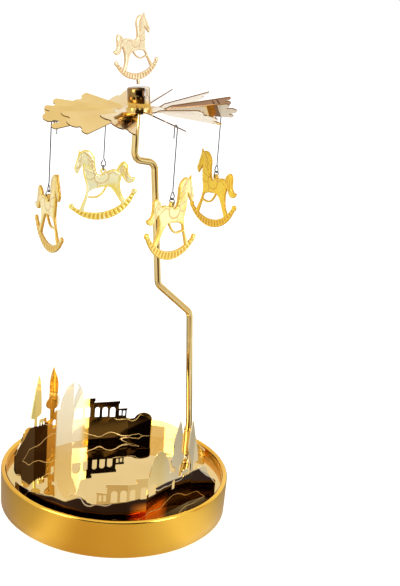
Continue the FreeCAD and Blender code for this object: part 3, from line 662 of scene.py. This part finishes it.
def steel_finish():
    """Grey drawn wire and small hardware."""
    grey = bpy.context.scene.carousel_colours.steel

    def colour(paint):
        cloud = paint.noise(paint.place(), 400.0, 3.0)
        return paint.mixed(cloud.between(0.35, 0.7), tinted(grey, (0.8,) * 3), tinted(grey, (1.25,) * 3))

    def roughness(paint):
        return paint.noise(paint.place(), 1500.0, 3.0) * 0.15 + 0.22

    def normal(paint):
        return paint.bump(paint.noise(paint.place(), 2500.0, 2.0), 0.01 * MM, 0.4)

    return metal("steel_drawn", colour, roughness, normal)


FINISHES = {
    "satin_gold": satin_finish, "mirror_gold": mirror_finish, "landscape_gold": landscape_finish,
    "rod_gold": rod_finish, "hub_gold": hub_finish, "blade_gold": blade_finish,
    "pale_charm": pale_charm_finish, "steel": steel_finish,
}
FINISHES.update({"charm_" + unit: partial(charm_finish, unit) for unit in UNITS})
made_finishes = {}


def finish(name):
    """The material of a finish, made once."""
    if name not in made_finishes:
        made_finishes[name] = FINISHES[name]()
    return made_finishes[name]


# Pieces from the frame

def merged_copy(node):
    """A mesh for editing from a CAD node, with its loose triangles joined."""
    shape = bmesh.new()
    shape.from_mesh(frame["nodes"][node].data)
    bmesh.ops.remove_doubles(shape, verts=shape.verts, dist=0.5e-6)
    return shape


def add_piece(shape, name, node, body, finish_name, crease=30.0):
    """Makes a smooth-shaded object from an edited mesh, in place of a CAD node."""
    mesh = bpy.data.meshes.new(name)
    for face in shape.faces:
        face.smooth = True
    shape.to_mesh(mesh)
    shape.free()
    mesh.materials.clear()
    mesh.materials.append(finish(finish_name))
    mesh.set_sharp_from_angle(angle=math.radians(crease))
    piece = bpy.data.objects.new(name, mesh)
    bpy.context.scene.collection.objects.link(piece)
    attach(piece, body)
    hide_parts(node)
    return piece


def mark_shaded_edges(shape, flatness):
    """Marks the faces on the cut edges of a roughly level sheet, which its finish paints dark as shade."""
    layer = shape.faces.layers.float.new("rim")
    for face in shape.faces:
        face[layer] = 1.0 if abs(face.normal.z) < flatness else 0.0


def mark_run(shape, side):
    """Stores each point's share of its strip's length, from the tree end."""
    layer = shape.verts.layers.float.new("run")
    half_turn = math.pi if side == "front" else 0.0
    plan = []
    for azimuth, share in FOLD_SHARES[side]:
        heading = math.radians(azimuth) + half_turn
        plan.append(Vector((math.cos(heading), math.sin(heading))) * share * TRAY_RADIUS)
    for vert in shape.verts:
        best = math.inf
        before = 0.0
        for start, end in zip(plan, plan[1:]):
            along = (end - start).normalized()
            reach = max(0.0, min((end - start).length, (vert.co.xy - start).dot(along)))
            gap = (vert.co.xy - start - along * reach).length
            if gap < best:
                best = gap
                vert[layer] = (before + reach) / SHEET_LENGTH
            before += (end - start).length


def dressed(node, body, finish_name, crease=30.0):
    """A smooth-shaded copy of a CAD node with its finish."""
    return add_piece(merged_copy(node), node + "_dressed", node, body, finish_name, crease)


# Rocking horses. Places on a horse are shares of its length, head at -X, from the rocker's middle.
# Muscles are (x, y, size), the saddle is (x, y, half width, half height) and the eye is (x, y, size).

HORSE_TILTS = {"right": 8.0, "rear": 13.5, "left": 3.0, "front": 8.0}
TOP_LEAN = 5.8
TOP_HEADING = 45.0
TOP_RISE = 3.22 * MM
EYELET_SHARE = (0.1, 0.4486)
STRAP_SHARES = (
    ((-0.318, 0.560), (-0.262, 0.575), (-0.225, 0.600)),
    ((-0.262, 0.575), (-0.215, 0.660), (-0.185, 0.745)),
    ((-0.255, 0.560), (-0.150, 0.500), (-0.020, 0.425)),
    ((-0.198, 0.400), (-0.130, 0.360), (-0.045, 0.370)),
    ((-0.030, 0.290), (-0.035, 0.240), (-0.030, 0.205)),
    ((0.160, 0.385), (0.250, 0.395), (0.335, 0.330)),
)
HAIR_SHARES = (
    ((-0.150, 0.790), (-0.085, 0.750), (-0.050, 0.690)),
    ((-0.110, 0.740), (-0.060, 0.690), (-0.030, 0.620)),
    ((-0.105, 0.680), (-0.060, 0.620), (-0.035, 0.540)),
    ((-0.110, 0.620), (-0.065, 0.550), (-0.035, 0.470)),
    ((0.350, 0.400), (0.410, 0.470), (0.450, 0.400), (0.445, 0.280), (0.520, 0.235)),
    ((0.360, 0.370), (0.400, 0.410), (0.415, 0.320), (0.430, 0.215)),
)
MUSCLE_SHARES = (
    (-0.120, 0.290, 0.085), (0.245, 0.310, 0.100), (-0.130, 0.500, 0.060), (-0.230, 0.650, 0.050),
)
LINE_WIDTH_SHARE = 0.013
SADDLE_SHARES = (0.055, 0.370, 0.110, 0.105)
EYE_SHARES = (-0.238, 0.672, 0.014)
ROCKER_END_SHARES = ((-0.470, -0.012), (0.0, -0.242), (0.500, 0.009))
ROCKER_LOW_SHARE = -0.300
ROCKER_WIDTH_SHARES = (0.05, 0.116)
RIB_COUNT = 17


def circle_through(first, second, third):
    """Centre and radius of the circle through three flat points."""
    ax, ay = first
    bx, by = second
    cx, cy = third
    d = 2 * (ax * (by - cy) + bx * (cy - ay) + cx * (ay - by))
    a2, b2, c2 = ax * ax + ay * ay, bx * bx + by * by, cx * cx + cy * cy
    centre = Vector(((a2 * (by - cy) + b2 * (cy - ay) + c2 * (ay - by)) / d,
                     (a2 * (cx - bx) + b2 * (ax - cx) + c2 * (bx - ax)) / d))
    return centre, (Vector(first) - centre).length


def distance_to_line(point, line):
    """Distance from a flat point to a run of flat points."""
    best = math.inf
    for start, end in zip(line, line[1:]):
        start, end = Vector(start), Vector(end)
        along = end - start
        t = max(0.0, min(1.0, (point - start).dot(along) / along.length_squared))
        best = min(best, (point - start - along * t).length)
    return best


def ridge(distance, width):
    """1 on a line, falling to 0 beside it."""
    return math.exp(-(distance / width) ** 2)


def horse_relief(point, edge_distance, shape):
    """Rise over the plate's face as a share of the crown, and strength of the lines, at a place."""
    reach = min(1.0, edge_distance / shape.crown_reach)
    rise = math.sqrt(1 - (1 - reach) ** 2)
    line = shape.line_height / shape.crown
    edge_fade = min(1.0, edge_distance / (0.25 * shape.crown_reach))
    for x, y, size in MUSCLE_SHARES:
        rise += 0.22 * ridge((point - Vector((x, y))).length, size) * edge_fade
    extra = 0.0
    for strap in STRAP_SHARES:
        extra = max(extra, ridge(distance_to_line(point, strap), LINE_WIDTH_SHARE))
    x, y, wide, tall = SADDLE_SHARES
    round_saddle = math.hypot((point.x - x) / wide, (point.y - y) / tall)
    extra = max(extra, 1.2 * ridge(round_saddle - 1, 0.12))
    if round_saddle < 1:
        extra = max(extra, 0.3)
    x, y, size = EYE_SHARES
    extra = max(extra, 1.3 * ridge((point - Vector((x, y))).length, size))
    for hair in HAIR_SHARES:
        extra = max(extra, 1.1 * ridge(distance_to_line(point, hair), LINE_WIDTH_SHARE))
    centre, radius = circle_through(*ROCKER_END_SHARES)
    from_centre = point - centre
    angle = math.atan2(from_centre.y, from_centre.x)
    low = math.atan2(*(Vector(ROCKER_END_SHARES[0]) - centre).yx)
    high = math.atan2(*(Vector(ROCKER_END_SHARES[2]) - centre).yx)
    turn = (angle - low) % (2 * math.pi) / ((high - low) % (2 * math.pi))
    end_width, middle_width = ROCKER_WIDTH_SHARES
    width = end_width + (middle_width - end_width) * math.sin(math.pi * min(1.0, turn))
    aside = from_centre.length - radius
    if point.y < 0.02 and turn <= 1 and abs(aside) < width / 2:
        rim = ridge(abs(aside) - width / 2, 0.012)
        rung = abs(math.cos(math.pi * RIB_COUNT * turn)) ** 6
        return 0.25 + line * 1.8 * max(rim, rung) * edge_fade, 0.8 * (1 - max(rim, rung)) * edge_fade
    return rise + extra * line * edge_fade, extra * edge_fade


def horse_place(unit):
    """Matrix that takes a flat horse in the XY plane to its place on the ring."""
    joint = JOINTS[unit + "_horse_rock"]
    normal = Vector(joint["axis"])
    heading = UP.cross(normal).normalized()
    shape = bpy.context.scene.carousel_charms
    anchor = Vector((EYELET_SHARE[0] * shape.length, EYELET_SHARE[1] * shape.length, 0))
    upright = Matrix((-heading, UP, -heading.cross(UP))).transposed().to_4x4()
    tilt = Matrix.Rotation(math.radians(HORSE_TILTS[unit]), 4, "Z")
    return Matrix.Translation(joint["pos_m"]) @ upright @ tilt @ Matrix.Translation(-anchor)


def top_horse_place():
    """Matrix that takes a flat horse to its place over the leaning hub."""
    lean = Matrix.Rotation(math.radians(-TOP_LEAN), 4, "Y")
    shape = bpy.context.scene.carousel_charms
    length = shape.length * shape.top_share
    heading = Vector((math.cos(math.radians(TOP_HEADING)), math.sin(math.radians(TOP_HEADING)), 0))
    upright = Matrix((-heading, UP, -heading.cross(UP))).transposed().to_4x4()
    anchor = Vector((0, ROCKER_LOW_SHARE * length, 0))
    foot = SPIN_POINT + lean @ Vector((0, 0, TOP_RISE))
    return Matrix.Translation(foot) @ lean @ upright @ Matrix.Translation(-anchor)


def gridded_horse(node, place, length):
    """Horse from a CAD node, laid flat, with a fine grid over both faces and its relief raised."""
    shape = bpy.context.scene.carousel_charms
    flat = merged_copy(node)
    flat.transform(place.inverted())
    solid = bpy.data.meshes.new(node + "_flat")
    flat.to_mesh(solid)
    flat.free()
    outline = bpy.data.objects.new(node + "_flat", solid)
    bpy.context.scene.collection.objects.link(outline)
    slab_mesh = bpy.data.meshes.new(node + "_slab")
    slab = bmesh.new()
    side = 1.3 * length
    cells = int(side / shape.cell)
    bmesh.ops.create_grid(slab, x_segments=cells, y_segments=cells, size=side / 2)
    centre = Vector((0.02 * length, 0.27 * length, -0.49 * shape.plate))
    bmesh.ops.translate(slab, verts=slab.verts, vec=centre)
    raised = bmesh.ops.extrude_face_region(slab, geom=list(slab.faces), use_keep_orig=True)
    top = [part for part in raised["geom"] if isinstance(part, bmesh.types.BMVert)]
    bmesh.ops.translate(slab, verts=top, vec=UP * 0.98 * shape.plate)
    bmesh.ops.recalc_face_normals(slab, faces=slab.faces)
    slab.to_mesh(slab_mesh)
    slab.free()
    piece = bpy.data.objects.new(node + "_grid", slab_mesh)
    bpy.context.scene.collection.objects.link(piece)
    cut = piece.modifiers.new("outline", "BOOLEAN")
    cut.operation = "INTERSECT"
    cut.solver = "EXACT"
    cut.object = outline
    graph = bpy.context.evaluated_depsgraph_get()
    result = bmesh.new()
    result.from_mesh(piece.evaluated_get(graph).to_mesh())
    bpy.data.objects.remove(piece)
    bpy.data.objects.remove(outline)
    bmesh.ops.remove_doubles(result, verts=result.verts, dist=2e-6)
    raise_relief(result, length, shape)
    result.transform(place)
    return result


def raise_relief(mesh, length, shape):
    """Lifts the inner points of both faces by the horse's relief, and stores it for the finish, which paints
    shade and highlight by it.
    """
    half = 0.45 * shape.plate
    layer = mesh.verts.layers.float.new("relief")
    lines = mesh.verts.layers.float.new("line")
    rims = set()
    for face in mesh.faces:
        if abs(face.normal.z) < 0.5:
            rims.update(face.verts)
    tree = KDTree(len(rims))
    for i, vert in enumerate(rims):
        tree.insert(Vector((vert.co.x, vert.co.y, 0)), i)
    tree.balance()
    for vert in mesh.verts:
        if vert in rims or abs(vert.co.z) < half:
            vert[layer] = 0.1
            continue
        flat = Vector((vert.co.x, vert.co.y, 0))
        edge = tree.find(flat)[2]
        scale = length / shape.length
        place = Vector((vert.co.x / length, vert.co.y / length))
        rise, vert[lines] = horse_relief(place, edge / scale, shape)
        vert[layer] = min(1.0, rise / 2.0)
        vert.co.z += math.copysign(rise * shape.crown * scale, vert.co.z)


# Operators

class CAROUSEL_OT_tray(bpy.types.Operator):
    """Dress the tray's spun shell and its mirror floor"""
    bl_idname = "carousel.tray"
    bl_label = "Tray"

    def execute(self, context):
        dressed("tray_shell", "tray", "satin_gold", 35.0)
        dressed("mirror_floor", "tray", "mirror_gold")
        return {"FINISHED"}


class CAROUSEL_OT_landscape(bpy.types.Operator):
    """Dress the two pierced landscape strips"""
    bl_idname = "carousel.landscape"
    bl_label = "Landscape strips"

    def execute(self, context):
        for side in ("rear", "front"):
            node = side + "_landscape_strip"
            shape = merged_copy(node)
            mark_run(shape, side)
            add_piece(shape, node + "_dressed", node, "tray", "landscape_gold", 20.0)
        return {"FINISHED"}


class CAROUSEL_OT_socket(bpy.types.Operator):
    """Dress the rod's socket with its washer and nut"""
    bl_idname = "carousel.socket"
    bl_label = "Socket"

    def execute(self, context):
        dressed("rod_socket", "tray", "rod_gold")
        dressed("socket_washer", "tray", "steel")
        dressed("socket_nut", "tray", "steel")
        return {"FINISHED"}


class CAROUSEL_OT_rod(bpy.types.Operator):
    """Dress the cranked rod"""
    bl_idname = "carousel.rod"
    bl_label = "Rod"

    def execute(self, context):
        dressed("support_rod", "rod", "rod_gold")
        return {"FINISHED"}


class CAROUSEL_OT_hub(bpy.types.Operator):
    """Dress the hub cup and its collar"""
    bl_idname = "carousel.hub"
    bl_label = "Hub"

    def execute(self, context):
        dressed("hub_cup", "rotor", "hub_gold")
        dressed("fan_collar", "rotor", "rod_gold")
        return {"FINISHED"}


class CAROUSEL_OT_fan(bpy.types.Operator):
    """Dress the twelve-bladed fan"""
    bl_idname = "carousel.fan"
    bl_label = "Fan"

    def execute(self, context):
        shape = merged_copy("chime_fan")
        mark_shaded_edges(shape, 0.6)
        add_piece(shape, "chime_fan_sheet", "chime_fan", "rotor", "blade_gold", 20.0)
        return {"FINISHED"}


class CAROUSEL_OT_hangers(bpy.types.Operator):
    """Dress the hanging wires and their jump rings"""
    bl_idname = "carousel.hangers"
    bl_label = "Wires and rings"

    def execute(self, context):
        for unit in UNITS:
            dressed(unit + "_hanger_wire", unit + "_wire", "steel")
            dressed(unit + "_jump_ring", unit + "_wire", "steel")
        return {"FINISHED"}


class CAROUSEL_OT_horses(bpy.types.Operator):
    """Model the relief of the four hanging horses and of the top horse"""
    bl_idname = "carousel.horses"
    bl_label = "Rocking horses"

    def execute(self, context):
        shape = context.scene.carousel_charms
        for unit in UNITS:
            node = unit + "_rocking_horse"
            mesh = gridded_horse(node, horse_place(unit), shape.length)
            add_piece(mesh, node + "_stamped", node, unit + "_horse", "charm_" + unit, 50.0)
        node = "top_rocking_horse"
        mesh = gridded_horse(node, top_horse_place(), shape.length * shape.top_share)
        add_piece(mesh, node + "_stamped", node, "rotor", "pale_charm", 50.0)
        return {"FINISHED"}


class CAROUSEL_OT_stage(bpy.types.Operator):
    """Set up the white studio: floor, lamps, room light and camera"""
    bl_idname = "carousel.stage"
    bl_label = "Studio"

    def execute(self, context):
        studio = context.scene.carousel_studio
        context.scene.view_settings.view_transform = "Standard"
        self.make_floor()
        self.make_world(studio)
        self.make_lamp("key_softbox", (-0.55, -0.35, 0.55), (0.35, 0.5), studio.key_power)
        self.make_lamp("fill_softbox", (0.50, -0.40, 0.30), (0.25, 0.4), studio.fill_power)
        self.make_camera(context, studio)
        return {"FINISHED"}

    def make_floor(self):
        """Large pale table, white to the camera except in shade, and banded in reflections."""
        shape = bmesh.new()
        bmesh.ops.create_circle(shape, cap_ends=True, segments=96, radius=FLOOR_RADIUS)
        mesh = bpy.data.meshes.new("studio_table")
        shape.to_mesh(mesh)
        shape.free()
        floor = bpy.data.objects.new("studio_table", mesh)
        bpy.context.scene.collection.objects.link(floor)
        material = bpy.data.materials.new("studio_white")
        material.use_nodes = True
        paint = Paint(material.node_tree)
        ray = paint.node("ShaderNodeLightPath")
        grain = paint.noise(paint.place(), 300.0, 2.0)
        pale = paint.mixed(grain, (0.86, 0.86, 0.86), (0.88, 0.88, 0.88))
        matt = paint.node("ShaderNodeBsdfDiffuse", None, {"Color": pale})
        glow = paint.node("ShaderNodeEmission", None, {"Color": (1.0, 1.0, 1.0), "Strength": FLOOR_GLOW})
        both = paint.node("ShaderNodeAddShader", None, {0: matt.signal("BSDF"), 1: glow.signal("Emission")})
        x, y, z = paint.split(paint.place())
        turn = paint.turn(x, y)
        reach = (x * x + y * y) ** 0.5
        near, far, room = (paint.ramp(turn, stops) for stops in (NEAR_TABLE, FAR_TABLE, ROOM))
        table = paint.mixed(reach.between(NEAR_TABLE_END, FAR_TABLE_START), near, far)
        bands = paint.mixed(reach.between(FAR_TABLE_END, ROOM_START), table, room)
        mirrored = paint.node("ShaderNodeEmission", None, {"Color": bands, "Strength": 1.0})
        sockets = {"Fac": paint.seen(ray), 1: matt.signal("BSDF"), 2: both.signal("Shader")}
        direct = paint.node("ShaderNodeMixShader", None, sockets).signal("Shader")
        sockets = {"Fac": ray.signal("Is Glossy Ray"), 1: direct, 2: mirrored.signal("Emission")}
        surface = paint.node("ShaderNodeMixShader", None, sockets)
        paint.node("ShaderNodeOutputMaterial", None, {"Surface": surface.signal("Shader")})
        mesh.materials.append(material)

    def make_world(self, studio):
        """White background, soft room light, and the bands that only reflections see."""
        world = bpy.data.worlds.new("studio_room")
        bpy.context.scene.world = world
        world.use_nodes = True
        paint = Paint(world.node_tree)
        ray = paint.node("ShaderNodeLightPath")
        x, y, z = paint.split(paint.node("ShaderNodeTexCoord").signal("Generated"))
        room = paint.ramp(paint.turn(x, y), ROOM)
        lit = paint.mixed(z.between(0.45, 0.75), room, CEILING_COLOUR)
        sky = paint.mixed(ray.signal("Is Glossy Ray"), (studio.ambient,) * 3, lit)
        colour = paint.mixed(paint.seen(ray), sky, (1.0, 1.0, 1.0))
        back = paint.node("ShaderNodeBackground", None, {"Color": colour, "Strength": 1.0})
        paint.node("ShaderNodeOutputWorld", None, {"Surface": back.signal("Background")})

    def make_lamp(self, name, place, size, power):
        """Rectangular soft lamp aimed at the middle of the object."""
        data = bpy.data.lights.new(name, "AREA")
        data.shape = "RECTANGLE"
        data.size, data.size_y = size
        data.energy = power
        lamp = bpy.data.objects.new(name, data)
        bpy.context.scene.collection.objects.link(lamp)
        lamp.location = place
        aim = MIDDLE - Vector(place)
        lamp.rotation_euler = aim.to_track_quat("-Z", "Y").to_euler()

    def make_camera(self, context, studio):
        """Camera at the photograph's angle."""
        data = bpy.data.cameras.new("studio_camera")
        data.sensor_fit = "VERTICAL"
        data.sensor_height = 36.0
        data.lens = studio.focal_length
        data.clip_start = 0.01
        camera = bpy.data.objects.new("studio_camera", data)
        context.scene.collection.objects.link(camera)
        level = Matrix.Rotation(math.pi / 2 - studio.camera_dip, 4, "X")
        roll = Matrix.Rotation(studio.camera_roll, 4, "Z")
        pan = Matrix.Rotation(-studio.camera_pan, 4, "Z")
        place = Matrix.Translation((0, -studio.camera_distance, studio.camera_height))
        camera.matrix_world = place @ pan @ level @ roll
        context.scene.camera = camera


STEPS = (CAROUSEL_OT_stage, CAROUSEL_OT_tray, CAROUSEL_OT_landscape, CAROUSEL_OT_socket, CAROUSEL_OT_rod,
         CAROUSEL_OT_hub, CAROUSEL_OT_fan, CAROUSEL_OT_hangers, CAROUSEL_OT_horses)


class CAROUSEL_PT_panel(bpy.types.Panel):
    """Sidebar panel with the settings and the steps"""
    bl_idname = "CAROUSEL_PT_panel"
    bl_label = "Angel Chime Carousel"
    bl_space_type = "VIEW_3D"
    bl_region_type = "UI"
    bl_category = "Carousel"

    def draw(self, context):
        for name in GROUPS:
            group = getattr(context.scene, name)
            box = self.layout.box()
            for setting in group.__annotations__:
                box.prop(group, setting)
        for step in STEPS:
            self.layout.operator(step.bl_idname)


GROUPS = {"carousel_colours": FinishColours, "carousel_charms": CharmShape, "carousel_studio": StudioSettings}


def register():
    """Registers the settings, the steps and the panel."""
    for name, group in GROUPS.items():
        bpy.utils.register_class(group)
        setattr(bpy.types.Scene, name, bpy.props.PointerProperty(type=group))
    for step in STEPS:
        bpy.utils.register_class(step)
    bpy.utils.register_class(CAROUSEL_PT_panel)


def unregister():
    """Removes what register added."""
    bpy.utils.unregister_class(CAROUSEL_PT_panel)
    for step in reversed(STEPS):
        bpy.utils.unregister_class(step)
    for name, group in reversed(GROUPS.items()):
        delattr(bpy.types.Scene, name)
        bpy.utils.unregister_class(group)


def main():
    """Registers everything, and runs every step."""
    register()
    for step in STEPS:
        module, name = step.bl_idname.split(".")
        getattr(getattr(bpy.ops, module), name)()


if __name__ == "__main__":
    main()
